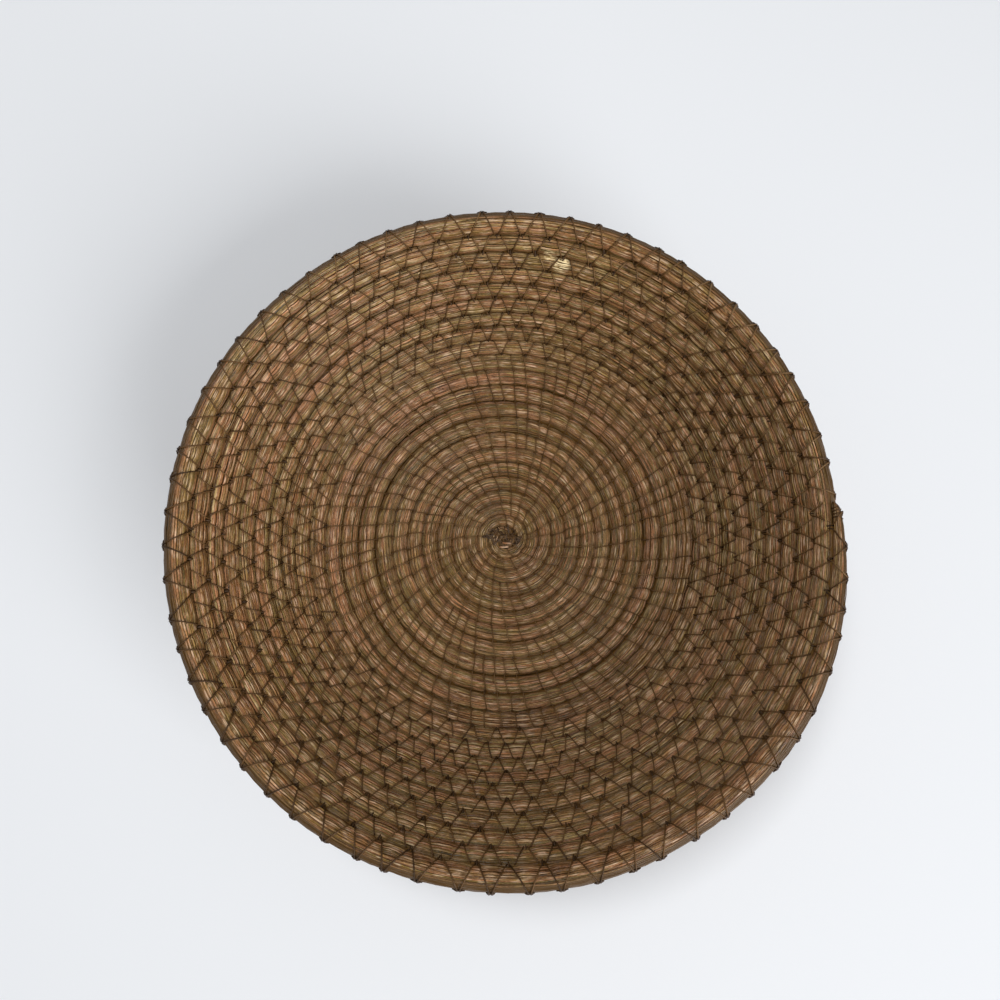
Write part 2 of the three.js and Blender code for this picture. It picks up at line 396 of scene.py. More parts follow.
# A base stitch lies beside the one a turn before it, with one more between where there is room
def planBase():
    found = []
    turns = firstStitch
    while turns < firstStitch + 1:
        found.append(turns)
        room = stitches["closest"] * stitches["firstShare"]
        turns += room / lengthRound(turns)
    index = 0
    while True:
        radius = lineAt(distance(found[index] + 1))[0]
        lean = stitches["lean"] / (fullTurn * radius)
        turns = found[index] + 1 + lean * chance.uniform(*stitches["leans"])
        index += 1
        if turns > stitches["wallStart"]:
            return np.array(found)
        room = (turns - found[-1]) * fullTurn * radius
        most = stitches["closest"] + stitches["spread"] * radius
        if room > most:
            found.append((turns + found[-1]) / 2)
        if room > stitches["crowded"] * most:
            found.append(turns)


def planWall():
    found = [stitches["wallStart"]]
    while found[-1] < lastTurn - stitches["freeEnd"]:
        wide = found[-1] < stitches["wallStart"] + 1
        found.append(found[-1] + 1 / (stitches["wideCount"] if wide else stitches["wallCount"]))
    found = np.array(found[:-1])
    return found + chance.normal(0, stitches["wallStray"], len(found))


baseStitches = planBase()
wallStitches = planWall()
print(len(baseStitches), "base stitches,", len(wallStitches), "V stitches")


# Inner and outer places of all legs on one side of the bowl
def planLegs(inside):
    baseLean = stitches["lean"] / lengthRound(baseStitches)
    if inside:
        stray = chance.normal(0, stitches["stray"], (2, len(baseStitches))) / lengthRound(baseStitches)
        baseInner = baseStitches + stray[0]
        baseOuter = baseStitches + baseLean + stray[1]
    else:
        baseInner = baseStitches[1:]
        baseOuter = baseStitches[:-1] + baseLean[:-1]
    room = np.gradient(wallStitches)
    reach = np.where(wallStitches > rimStart, stitches["rimOpen"], stitches["open"])
    innerParts = [baseInner]
    outerParts = [baseOuter]
    for way in (-1, 1):
        innerParts.append(wallStitches + way * room * stitches["apex"])
        opened = reach * chance.uniform(*stitches["opens"], len(room))
        outerParts.append(wallStitches + way * room * opened)
    return np.concatenate(innerParts), np.concatenate(outerParts)


legs = {True: planLegs(True), False: planLegs(False)}


# The needles
needles = {
    "lanes": 44,             # round the section
    "leftOut": 0.38,         # how far from its middle a pressed side stays bare, as a share of its half,
    "innerBare": 0.05,       # from this many metres of coil on the side that faces the eye
    "outerBare": 0.03,       # and up to this many turns before the rim row on the other
    "radius": 0.00054,       # to the corners of a needle's four sides
    "girths": (0.8, 1.12),   # thinnest and thickest needle
    "flatness": 0.84,        # height of a needle against its width
    "shortest": 0.12,        # length of a needle, as far as it lies on the skin
    "longest": 0.30,
    "overlap": 0.014,
    "ending": 0.011,         # a needle thins over this length,
    "endGirth": 0.35,        # to this share,
    "endDip": 0.0007,        # and dips in among the others
    "laidIn": 0.75,          # share of its own height that a needle is laid in by,
    "deepest": 0.0003,       # and up to this much more
    "stray": 1.8,            # degrees that a needle lies off its lane
    "wander": 2.8,           # and that it drifts round the bundle
    "wave": 0.4,             # and that it waves by
    "waveRate": 70,          # radians a metre
    "rise": 0.00011,         # it rises and dips among the others
    "riseEvery": 0.024,
    "darkAtEye": 0.22,       # how much darker the first needles are,
    "darkEnds": (0.1, 0.4),  # fading out between these metres of coil
    "hues": 0.4,             # how much needles differ in hue
    "edgeShare": 0.6,        # past this share of the way across, the rim's open edge
    "edgeDip": 0.15,         # is pinched by the stitches only this much
    "closestRings": 0.0012,  # nearer rings are joined
    "widestRings": 0.05,     # turns past which one is put between
    "ringsInside": (0, 0.3, 0.7),    # from one stitch to the next, as shares of the way
    "ringsOutside": (0, 0.5),
    "ringsAtTip": (0.95, 0.6, 0.32, 0.12, 0),
}
fineTurns = np.linspace(firstTurn, lastTurn, 9000)
fineSteps = np.linalg.norm(np.diff(rowAt(fineTurns)["centre"], axis=0), axis=1)
fineLength = np.concatenate([[0.0], np.cumsum(fineSteps)])
coilLength = fineLength[-1]
print("bundle is", round(coilLength, 2), "m long")


def lengthAt(turns):
    return np.interp(turns, fineTurns, fineLength)


# The section angles of the lanes, spaced evenly round the skin
def planLanes():
    section = np.linspace(0, fullTurn, 2001)
    across, inward = sectionPlace(section, turnsInAll / 2)
    reached = np.concatenate([[0.0], np.cumsum(np.hypot(np.diff(across), np.diff(inward)))])
    places = (np.arange(needles["lanes"]) + 0.5) / needles["lanes"]
    return np.interp(places * reached[-1], reached, section)


# A lane's rings lie where stitches cross it, with others between. The needles dip under each stitch.
def layLane(section):
    inside = math.sin(section) > 0
    inner, outer = legs[inside]
    crossShare = legShare(section, inner) if inside else (sectionPlace(section, inner)[0] + 1) / 2
    crossings = np.sort(inner + (outer - inner) * crossShare)
    crossings = crossings[(crossings > firstTurn) & (crossings < lastTurn)]
    ends = np.concatenate([[firstTurn], crossings, [lastTurn]])
    shares = np.array(needles["ringsInside" if inside else "ringsOutside"])
    turns = (ends[:-1, None] + np.diff(ends)[:, None] * shares).ravel()
    shares = np.tile(shares, len(ends) - 1)
    dips = stitches["pillow"] * (1 - 4 * shares * (1 - shares)) + stitches["pinch"] * (shares == 0)
    turns = np.append(turns, lastTurn)
    dips = np.append(dips, 0.0)
    rimEdge = (turns > openEdgeStart) & (sectionPlace(section, rimStart)[0] > needles["edgeShare"])
    dips = np.where(rimEdge, dips * needles["edgeDip"], dips)
    length = lengthAt(turns)
    kept = [0]
    for index in range(1, len(turns)):
        if length[index] - length[kept[-1]] > needles["closestRings"]:
            kept.append(index)
        elif dips[index] > dips[kept[-1]]:
            kept[-1] = index
    if kept[-1] != len(turns) - 1:
        kept.append(len(turns) - 1)
    turns, dips = turns[kept], dips[kept]
    early = turns < lastTurn - bundle["tipRound"]
    endTurns = lastTurn - bundle["tipRound"] * np.array(needles["ringsAtTip"])
    turns = np.concatenate([turns[early], endTurns])
    dips = np.concatenate([dips[early], np.zeros(len(endTurns))])
    wide = np.nonzero(np.diff(turns) > needles["widestRings"])[0]
    turns = np.insert(turns, wide + 1, (turns[wide] + turns[wide + 1]) / 2)
    dips = np.insert(dips, wide + 1, (dips[wide] + dips[wide + 1]) / 2)
    row = rowAt(turns)
    return {
        "section": section,
        "turns": turns,
        "length": lengthAt(turns),
        "row": row,
        "size": np.clip(row["halfWidth"] / fullHalfWidth, 0.5, 1),
        "dips": dips,
    }


lanes = [layLane(section) for section in planLanes()]
print(sum(len(lane["turns"]) for lane in lanes), "rings in", len(lanes), "lanes")

needlePieces = (
    "needles_base_middle", "needles_base_edge", "needles_turn_up", "needles_wall_low",
    "needles_wall_middle", "needles_wall_high", "needles_below_rim", "needles_rim",
)
needleMeshes = [TubeMesh(4, needles["flatness"]) for _ in needlePieces]


# Needles are fed in by the handful, so those that lie together share a look
batches = {"spacing": 0.045, "toneShift": 0.11, "hueShift": 0.14}
batchCount = int(coilLength / batches["spacing"]) + 3
batchTones = chance.normal(0, 1, batchCount)
batchHues = chance.normal(0, 1, batchCount)


def batchAt(values, length):
    return float(np.interp(length / batches["spacing"], np.arange(batchCount), values))


# Painted shade, darkest in the seams: 0 on a row's crown and 1 deep in a seam
paintedShade = {
    "turns": (1, 9, 13),
    "powers": (2.3, 3, 3.7),     # at those turns; a higher power keeps it nearer the seam
    "underStitchShade": 0.40,         # share of painted shade that a stitch adds beneath it
    "tip": 0.003,                # turns before the tip's end over which the darkening grows to full
    "shadedEdge": 1.4,              # painted shade on the rim's outer edge
    "shadedEdgeInside": (0.6, 2.5),     # place where it ends towards the bowl's inside, and how sharply,
    "shadedEdgeOutside": (-1.15, 3),    # and on the outside
}


def paintedShadeAt(turns, across, inward, dips):
    inSeam = np.abs(across) ** np.interp(turns, paintedShade["turns"], paintedShade["powers"])
    inside, sharpInside = paintedShade["shadedEdgeInside"]
    outside, sharpOutside = paintedShade["shadedEdgeOutside"]
    # Painted shade on the rim row's outer edge, in place of the seam's
    shadedEdge = paintedShade["shadedEdge"] * np.clip((inside - inward) * sharpInside, 0, 1)
    shadedEdge = shadedEdge * np.clip((inward - outside) * sharpOutside, 0, 1)
    inSeam = np.where((turns > rimStart) & (across > 0), shadedEdge, inSeam)
    inSeam = np.maximum(inSeam, 1 - np.clip((lastTurn - turns) / paintedShade["tip"], 0, 1))
    underStitchShade = np.clip(dips / deepestDip, 0, 1)
    return 1 - (1 - inSeam) * (1 - paintedShade["underStitchShade"] * underStitchShade)


# One needle, from its start along a lane. It is turned off the lane, wanders round the bundle on its way,
# and is sunk among the others.
def layNeedle(lane, start, length, turned, wander, sunk, radius):
    first = np.searchsorted(lane["length"], start)
    last = min(np.searchsorted(lane["length"], start + length) + 1, len(lane["length"]))
    if last - first < 4:
        return
    row = {key: values[first:last] for key, values in lane["row"].items()}
    size = lane["size"][first:last]
    along = lane["length"][first:last] - lane["length"][first]
    drift = wander * (along / along[-1] - 0.5)
    wave = np.sin(chance.uniform(0, fullTurn) + along * needles["waveRate"])
    drift = drift + math.radians(needles["wave"]) * wave
    rise = needles["rise"] * np.sin(chance.uniform(0, fullTurn) + along * fullTurn / needles["riseEvery"])
    sections = lane["section"] + turned + drift
    atTip = last == len(lane["length"])
    fromEnd = along if atTip else np.minimum(along, along[-1] - along)
    ending = np.clip(fromEnd / needles["ending"], 0, 1)
    radii = radius * size * (needles["endGirth"] + (1 - needles["endGirth"]) * ending)
    dips = lane["dips"][first:last]
    laidIn = radii * needles["flatness"] * needles["laidIn"]
    lift = rise - laidIn - dips * size - sunk - needles["endDip"] * (1 - ending)
    path, away = onSection(row, sections, lift)
    keepAbove(path, radii * needles["flatness"])
    across, inward = sectionPlace(sections, row["turns"])
    shade = paintedShadeAt(row["turns"], across, inward, dips)
    middle = start + length / 2
    piece = int(np.clip(middle / coilLength, 0, 0.999) * len(needleMeshes))
    tone = chance.uniform() + batches["toneShift"] * batchAt(batchTones, middle)
    tone = tone - needles["darkAtEye"] * np.interp(middle, needles["darkEnds"], (1, 0))
    hue = batches["hueShift"] * batchAt(batchHues, middle) + needles["hues"] * chance.normal()
    needleMeshes[piece].add(path, away, radii, tone, shade, hue)


def layNeedles():
    for lane in lanes:
        across, inward = sectionPlace(lane["section"], turnsInAll / 2)
        start = -chance.uniform(0, needles["longest"])
        end = coilLength
        if abs(inward) < needles["leftOut"] and across < 0:
            end = needles["innerBare"]
        elif abs(inward) < needles["leftOut"]:
            start = float(lengthAt(rimStart - needles["outerBare"]))
        while start < end:
            length = chance.uniform(needles["shortest"], needles["longest"])
            layNeedle(
                lane,
                max(start, 0.0),
                length + min(start, 0.0),
                math.radians(chance.normal(0, needles["stray"])),
                math.radians(chance.normal(0, needles["wander"])),
                chance.uniform(0, needles["deepest"]),
                needles["radius"] * chance.uniform(*needles["girths"]),
            )
            start += length - needles["overlap"]


# Thinner needles that lie across the others
loose = {
    "share": 0.06,               # of all
    "usual": 0.11,               # length to count them by
    "lengths": (0.05, 0.16),
    "wander": 11,                # degrees that one drifts round the bundle
    "girths": (0.6, 0.8),
    "lifted": 0.00012,
    "openSides": 0.6,            # sine of the section angle past which a lane shows
}


def layLoose():
    count = int(loose["share"] * needles["lanes"] * coilLength / loose["usual"])
    openLanes = [lane for lane in lanes if abs(math.sin(lane["section"])) > loose["openSides"]]
    for _ in range(count):
        layNeedle(
            openLanes[chance.integers(len(openLanes))],
            chance.uniform(0, coilLength - loose["lengths"][0]),
            chance.uniform(*loose["lengths"]),
            0.0,
            math.radians(chance.normal(0, loose["wander"])),
            -loose["lifted"],
            needles["radius"] * chance.uniform(*loose["girths"]),
        )


layNeedles()
layLoose()


# Shader maths: a socket that takes sums, and a material that adds any node
class Value:
    def __init__(self, finish, socket):
        self.finish = finish
        self.socket = socket

    def maths(self, operation, *others):
        inputs = {index: item for index, item in enumerate(others)}
        return self.finish.node("Math", {"operation": operation}, inputs)

    def __add__(self, other):
        return self.maths("ADD", self, other)

    def __sub__(self, other):
        return self.maths("SUBTRACT", self, other)

    def __rsub__(self, other):
        return self.maths("SUBTRACT", other, self)

    def __mul__(self, other):
        return self.maths("MULTIPLY", self, other)

    def power(self, other):
        return self.maths("POWER", self, other)

    def ramp(self, low, high, toLow=0.0, toHigh=1.0):
        inputs = {"Value": self, "From Min": low, "From Max": high, "To Min": toLow, "To Max": toHigh}
        return self.finish.node("MapRange", {}, inputs)

    __radd__ = __add__
    __rmul__ = __mul__


class Finish:
    def __init__(self, name):
        self.material = bpy.data.materials.new(name)
        self.material.use_nodes = True
        self.nodes = self.material.node_tree.nodes
        self.links = self.material.node_tree.links
        self.shader = self.nodes["Principled BSDF"]

    def node(self, kind, settings, inputs, output=0):
        made = self.nodes.new("ShaderNode" + kind)
        for name, setting in settings.items():
            if name == "stops":
                self.setStops(made.color_ramp, setting)
            else:
                setattr(made, name, setting)
        for name, item in inputs.items():
            if isinstance(item, Value):
                self.links.new(item.socket, made.inputs[name])
            else:
                made.inputs[name].default_value = item
        return Value(self, made.outputs[output])

    def setStops(self, ramp, stops):
        while len(ramp.elements) < len(stops):
            ramp.elements.new(0.5)
        for element, (position, colour) in zip(ramp.elements, stops):
            element.position = position
            element.color = colour

    def attribute(self, name, output="Fac"):
        return self.node("Attribute", {"attribute_name": name}, {}, output)

    def place(self):
        return self.node("TexCoord", {}, {}, "Object")

    def stretched(self, vector, scale):
        return self.node("VectorMath", {"operation": "MULTIPLY"}, {0: vector, 1: scale})

    def awayFrom(self, vector, point):
        return self.node("VectorMath", {"operation": "DISTANCE"}, {0: vector, 1: point}, "Value")

    def noise(self, vector, scale, detail=2.0, rough=0.5):
        inputs = {"Vector": vector, "Scale": scale, "Detail": detail, "Roughness": rough}
        return self.node("TexNoise", {}, inputs)

    def colours(self, value, stops):
        return self.node("ValToRGB", {"stops": stops}, {0: value})

    def mix(self, factor, first, second, kind="MIX"):
        settings = {"data_type": "RGBA", "blend_type": kind}
        return self.node("Mix", settings, {0: factor, 6: first, 7: second}, 2)

    def brighten(self, colour, light):
        grey = self.node("CombineXYZ", {}, {0: light, 1: light, 2: light})
        return self.mix(1.0, colour, grey, "MULTIPLY")

    def bump(self, height, strength, depth):
        return self.node("Bump", {}, {"Height": height, "Strength": strength, "Distance": depth})

    def set(self, **values):
        for name, item in values.items():
            socket = self.shader.inputs[name.replace("_", " ")]
            if isinstance(item, Value):
                self.links.new(item.socket, socket)
            else:
                socket.default_value = item


needleLook = {
    "dark": (0.092, 0.044, 0.0090, 1),
    "brown": (0.170, 0.092, 0.0300, 1),
    "tan": (0.285, 0.166, 0.0720, 1),
    "straw": (0.480, 0.318, 0.1750, 1),
    "warm": (1.16, 0.92, 0.95, 1),     # hues that needles lean to
    "olive": (0.90, 1.02, 0.80, 1),
    # colour of the painted shade in the seams, beneath stitches and on the rim's outer edge
    "paintedShade": (0.088, 0.043, 0.0090, 1),
    # colour of the painted highlight on the rows' crowns
    "crownHighlight": (0.760, 0.560, 0.390, 1),
    "scuff": (0.92, 0.74, 0.42, 1),
    # Place and reach of the two parts of the pale scuff on the far wall
    "scuffs": (((0.0268, 0.1286, 0.0556), 0.0056), ((0.0212, 0.1313, 0.0580), 0.0034)),
    # Patterns that follow a needle, by their rate along it, round it and from one needle to the next
    "shifts": (45, 0, 1),              # slow changes of colour
    "flecks": (170, 0, 1),             # and quick ones
    "streaks": (70, 1500, 1),
    "fibres": (1000, 3000, 1),
    "chips": (330, 1500, 1),           # of the scuff
    "patches": 110,                    # rate of the changes in hue over the basket,
    "patchHue": 1.8,                   # what they add to a needle's own,
    "greener": 0.40,                   # and what comes off again
    "toneShare": 0.40,                 # what the needle itself, the shifts and the flecks add to its colour
    "shiftShare": 0.4,
    "fleckShare": 0.46,
    "darker": 0.155,                   # and what comes off again
    "fibreLight": 2.6,                 # the same for brightness
    "streakLight": 2.9,
    "dimmer": 1.73,
    "lights": (0.25, 2.1),             # darkest and brightest
    "seamLight": 0.76,                 # painted brightness in a seam, as shade, and how much more painted light there is on a crown
    "crownLight": 0.30,
    # share of the painted shade that is mixed in
    "paintedShadeShare": 0.74,
    # share of the painted highlight that is mixed in
    "crownHighlightShare": 0.62,
}


def makeNeedleFinish():
    look = needleLook
    finish = Finish("pine needles")
    tone = finish.attribute("tone")
    shade = finish.attribute("shade")
    hue = finish.attribute("hue")
    grain = finish.attribute("grain", "Vector")
    place = finish.place()
    shifts = finish.noise(finish.stretched(grain, look["shifts"]), 1.0, 1)
    flecks = finish.noise(finish.stretched(grain, look["flecks"]), 1.0, 1)
    streaks = finish.noise(finish.stretched(grain, look["streaks"]), 1.0, 1)
    fibres = finish.noise(finish.stretched(grain, look["fibres"]), 1.0, 2, 0.6)
    patches = finish.noise(place, look["patches"], 3, 0.6)
    pale = tone * look["toneShare"] + shifts * look["shiftShare"] + flecks * look["fleckShare"]
    colour = finish.colours(pale - look["darker"], [
        (0.0, look["dark"]),
        (0.35, look["brown"]),
        (0.68, look["tan"]),
        (1.0, look["straw"]),
    ])
    light = fibres * look["fibreLight"] + streaks * look["streakLight"] - look["dimmer"]
    light = light.ramp(*look["lights"], *look["lights"])
    # Painted light on the rows' crowns and painted shade towards the seams
    colour = finish.brighten(colour, light * ((1 - shade) * look["crownLight"] + look["seamLight"]))
    warmed = finish.mix(1.0, colour, look["warm"], "MULTIPLY")
    greened = finish.mix(1.0, colour, look["olive"], "MULTIPLY")
    colour = finish.mix(hue + patches * look["patchHue"] - look["greener"], greened, warmed)
    # Painted shade, darkest in the seams and beneath stitches
    colour = finish.mix(shade.power(1.4) * look["paintedShadeShare"], colour, look["paintedShade"])
    # Painted highlight: pale streaks on the crowns between stitches
    crown = (1 - shade).power(3.0) * flecks.ramp(0.49, 0.65) * streaks.ramp(0.42, 0.58)
    colour = finish.mix(crown * look["crownHighlightShare"], colour, look["crownHighlight"])
    chips = finish.noise(finish.stretched(grain, look["chips"]), 1.0, 2).ramp(0.46, 0.54)
    for spot, reach in look["scuffs"]:
        near = finish.awayFrom(place, spot).ramp(reach, reach * 0.5)
        colour = finish.mix(near * chips, colour, look["scuff"])
    finish.set(
        Base_Color=colour,
        Roughness=streaks.ramp(0.3, 0.7, 0.30, 0.50),
        Specular_IOR_Level=0.30,
        Normal=finish.bump(fibres + streaks, 0.5, 0.00024),
    )
    return finish.material


threadLook = {
    "dark": (0.040, 0.019, 0.006, 1),
    "brown": (0.125, 0.062, 0.020, 1),
    "lit": (0.320, 0.205, 0.095, 1),
    "worn": (0.105, 0.072, 0.050, 1),      # the grey of the much handled thread at the eye
    "plies": (520, 620, 0),                # rate of the twist along the thread and round it
    "wear": (90, 90, 1),
}


def makeThreadFinish():
    look = threadLook
    finish = Finish("waxed thread")
    tone = finish.attribute("tone")
    grain = finish.attribute("grain", "Vector")
    plies = finish.node("TexWave", {"wave_type": "BANDS", "bands_direction": "DIAGONAL"}, {
        "Vector": finish.stretched(grain, look["plies"]),
        "Scale": 1.0,
        "Distortion": 1.2,
    })
    worn = finish.noise(finish.stretched(grain, look["wear"]), 1.0, 2)
    colour = finish.colours(tone * 0.6 + worn * 0.5, [
        (0.15, look["dark"]),
        (0.5, look["brown"]),
        (0.95, look["lit"]),
    ])
    colour = finish.mix(finish.attribute("hue"), colour, look["worn"])
    finish.set(
        Base_Color=colour,
        Roughness=worn.ramp(0.3, 0.7, 0.42, 0.56),
        Specular_IOR_Level=0.22,
        Normal=finish.bump(plies, 0.4, 0.00015),
    )
    return finish.material


coreLook = {
    "dark": (0.070, 0.033, 0.008, 1),
    "brown": (0.190, 0.096, 0.026, 1),
    "fibres": (60, 2400, 1),
}


def makeCoreFinish():
    look = coreLook
    finish = Finish("needles deep in the bundle")
    grain = finish.attribute("grain", "Vector")
    fibres = finish.noise(finish.stretched(grain, look["fibres"]), 1.0, 2)
    colour = finish.mix(fibres, look["dark"], look["brown"])
    finish.set(Base_Color=colour, Roughness=0.8, Specular_IOR_Level=0.1)
    return finish.material


needleFinish = makeNeedleFinish()
threadFinish = makeThreadFinish()
coreFinish = makeCoreFinish()
pieces = []


def finishPiece(piece, slot, *nodes):
    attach(piece, "root")
    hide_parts(*nodes)
    pieces.append(piece)


for name, tubes in zip(needlePieces, needleMeshes):
    finishPiece(tubes.build(name, needleFinish), "pine_needle", "needle_coil")


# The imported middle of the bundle. It fills the bundle up to the needles and closes the seams between rows.
core = {
    "step": 0.0045,          # from ring to ring
    "eyeTurns": 1.5,         # and in these first turns
    "eyeRings": 50,          # there are this many
    "sections": (0, 13, 27, 45, 67, 90, 113, 135, 153, 167),   # degrees, and the same again outside
    "sunk": 0.00135,         # below the bundle's skin,
    "atSeam": 0.0003,        # and below it in a seam
    "seamReach": 50,         # which reaches this many degrees from it,
    "seamFade": 20,          # and fades out over the last of them
    "ground": 0.0004,        # it lies this far above the ground
    "girth": 0.03,           # round the core,
    "cornerStep": 0.0014,    # and from corner to corner of its section
}


def makeCore():
    turns = np.interp(np.arange(0, coilLength, core["step"]), fineLength, fineTurns)
    near = turns[turns < core["eyeTurns"]]
    atEye = np.linspace(firstTurn, near[-1], core["eyeRings"])
    turns = np.concatenate([atEye, turns[len(near):], [lastTurn]])
    row = {key: values[:, None] for key, values in rowAt(turns).items()}
    degrees = np.array(core["sections"] + tuple(a + 180 for a in core["sections"]))
    sections = np.radians(degrees)[None, :] + 0 * turns[:, None]
    fromSeam = np.minimum(degrees % 180, 180 - degrees % 180)
    seam = np.clip((core["seamReach"] - fromSeam) / core["seamFade"], 0, 1)[None, :]
    openEdge = (turns[:, None] > openEdgeStart) & (np.cos(sections) > 0)
    seam = np.where(openEdge, 0.0, seam)
    size = row["halfWidth"] / fullHalfWidth
    lift = -(core["sunk"] * (1 - seam) + core["atSeam"] * seam) * size
    corners, _ = onSection(row, sections, lift)
    keepAbove(corners, core["ground"])
    # The rings run the other way round from a tube's
    corners = corners[:, ::-1, :]
    around = np.broadcast_to(np.arange(len(degrees))[None, :] * core["cornerStep"], sections.shape)
    mesh = TubeMesh(len(degrees), girth=core["girth"])
    mesh.addRings(corners, row["centre"][:, 0, :], around, 0.5, 0.0)
    return mesh.build("bundle_core", coreFinish)


finishPiece(makeCore(), "pine_needle", "needle_coil")


# The stitches. A leg rises from a hole in the row before, crosses the seam and its own row, and dives
# into the next seam. Each stop gives the row, the share of the way across it, and the lift off the skin.
legStops = (
    (-1, 0.64, -0.0014), (-1, 0.71, 0.0), (-1, 0.80, 0.0002),
    (0, -0.78, 0.0002), (0, -0.55, 0.0), (0, -0.25, 0.0), (0, 0.12, 0.0), (0, 0.48, 0.0),
    (0, 0.72, 0.0), (0, 0.83, 0.0), (0, 0.92, -0.0012),
)
threadLift = stitches["threadRadius"] * stitches["proud"] - deepestDip


def legPaths(inner, outer, inside):
    bow = chance.normal(0, stitches["bow"], len(inner)) / lengthRound(inner)
    paths = []
    aways = []
    for back, share, lift in legStops:
        section = sectionOf(share, inner) * (1 if inside else -1)
        reach = legShare(section, inner, back) if inside else (share + 1) / 2 + back
        turns = inner + (outer - inner) * reach + back + bow * 4 * reach * (1 - reach)
        path, away = onSection(rowAt(turns), section, lift + threadLift)
        keepAbove(path, stitches["threadRadius"] * stitches["girths"][1])
        paths.append(path)
        aways.append(away)
    return np.stack(paths, 1), np.stack(aways, 1)


# 1 at the back right, where the thread is painted lighter as on a lit side, and -1 opposite
def heldShare(turns):
    return np.cos(angleAt(turns) - math.radians(stitches["litSideAngle"]))


# Thread is painted darkest in the seams, as shade, and lighter where it stands proud, as light. The wall's
# is painted lighter still on its lit side.
# The base's first stitches have no row before them to rise from, so they start on their own.
def layLegs(mesh, inner, outer, inside, onWall):
    paths, aways = legPaths(inner, outer, inside)
    firstStop = np.where(inner < 1.1, 3, 0)
    proud = np.array([1 - share ** 2 if back == 0 else 0.0 for back, share, _ in legStops])
    girth = stitches["threadRadius"] * (1 if onWall else stitches["baseGirth"])
    lighter = 0 if onWall else stitches["baseTone"]
    for path, away, first, held in zip(paths, aways, firstStop, heldShare(inner)):
        radius = girth * chance.uniform(*stitches["girths"])
        # Painted light where the thread stands proud, and more on the wall's lit side
        proudLight = stitches["proudLight"] + stitches["held"] * max(held, 0) * onWall
        tone = chance.uniform(*stitches["tones"]) + proudLight * proud + lighter
        mesh.add(path[first:], away[first:], radius, tone[first:])


knots = {
    "stops": (                             # as a leg's
        (-1, 0.60, -0.0008), (-1, 0.68, 0.0002), (-1, 0.79, 0.0005),
        (0, -0.80, 0.0004), (0, -0.70, -0.0008),
    ),
    "radii": (0.9, 1.15, 1.4, 1.2, 0.9),   # at the stops, against the thread's,
    "girths": (0.7, 1.2),                  # more or less
    "slant": 0.0004,                       # turns that a knot leans
    "tones": (-0.3, 0.1),
}


# Where a V starts, the thread is doubled over itself in the seam
def layKnots(mesh, places, inside):
    way = 1 if inside else -1
    for place in places:
        slant = chance.normal(0, knots["slant"])
        points = []
        aways = []
        for back, share, lift in knots["stops"]:
            turns = place + back + slant * (share if back else share + 2)
            section = sectionOf(share, place) * way
            point, away = onSection(rowAt(turns), section, lift + threadLift)
            points.append(point)
            aways.append(away)
        radii = np.array(knots["radii"]) * stitches["threadRadius"] * chance.uniform(*knots["girths"])
        path = np.array(points)
        keepAbove(path, radii)
        mesh.add(path, np.array(aways), radii, chance.uniform(*knots["tones"]))


def makeStitches(inside):
    where = "inside" if inside else "outside"
    inner, outer = legs[inside]
    onBase = outer < stitches["wallStart"] - stitches["baseClear"]
    onWall = ~onBase & (inner < rimStart)
    for label, chosen, node in (("base", onBase, "base_stitching"), ("wall", onWall, "wall_stitching")):
        mesh = TubeMesh(5)
        layLegs(mesh, inner[chosen], outer[chosen], inside, label == "wall")
        finishPiece(mesh.build(f"{label}_stitches_{where}", threadFinish), "waxed_thread", node)
    mesh = TubeMesh(6)
    layKnots(mesh, wallStitches, inside)
    finishPiece(mesh.build(f"stitch_knots_{where}", threadFinish), "waxed_thread", "wall_stitching")


makeStitches(True)
makeStitches(False)


# Over the rim the legs of two V's meet in one hump on the outer edge
rim = {
    "below": (0.70, 0.76, 0.84),            # places across the row below, and a leg's lift there
    "belowLift": (-0.0014, 0.0, 0.0002),
    "inside": (-0.80, -0.5, -0.1, 0.35, 0.7, 0.9),      # places across the rim row
    "edge": (24, 2, -16, -34, -52, -70),    # degrees of section
    "silhouette": -34,                      # the outer edge that the picture shows
    "hump": (0.0, 0.1, 0.6, 1.0, 0.8, 0.3),     # how much of the hump is at each of these
    "outside": (0.4, -0.1, -0.5, -0.8, -0.95),
    "raised": (0, 0, 0, 0.2, 0.9, 1, 1, 1, 1, 1, 1, 1, 0.6, 0, 0, 0, 0),   # where no needles are pinched
    "raise": 0.85,                          # share of the pinch
    "lift": 0.0001,
    "lastLift": -0.0014,                    # where a leg dives in on the outside
    "humpLift": 0.00015,
    "humpSize": 1.4,
    "humpStray": 0.05,                      # as a share of the room of a V
    "legsPart": 0.0005,                     # half the room between the two legs in a hump
    "girths": (0.9, 1.12),                  # thinnest and thickest leg
    "humpGirths": (0.5, 1.3),               # and the power that its hump's size is raised to
    "tones": (0, 0.5),
    "heldTone": 0.2,                        # painted lighter on the lit side,
    "humpTone": 0.7,                        # and darker in the hump
    "freeEnd": 0.002,                       # turns of the tip that no leg is on
    "lump": (-0.0022, -0.0011, 0, 0.0011, 0.0022),      # thread caught along the edge under them
    "lumpRadii": (0.6, 1.5, 2.1, 1.5, 0.6),
    "lumpLengths": (0.7, 1.2),
}


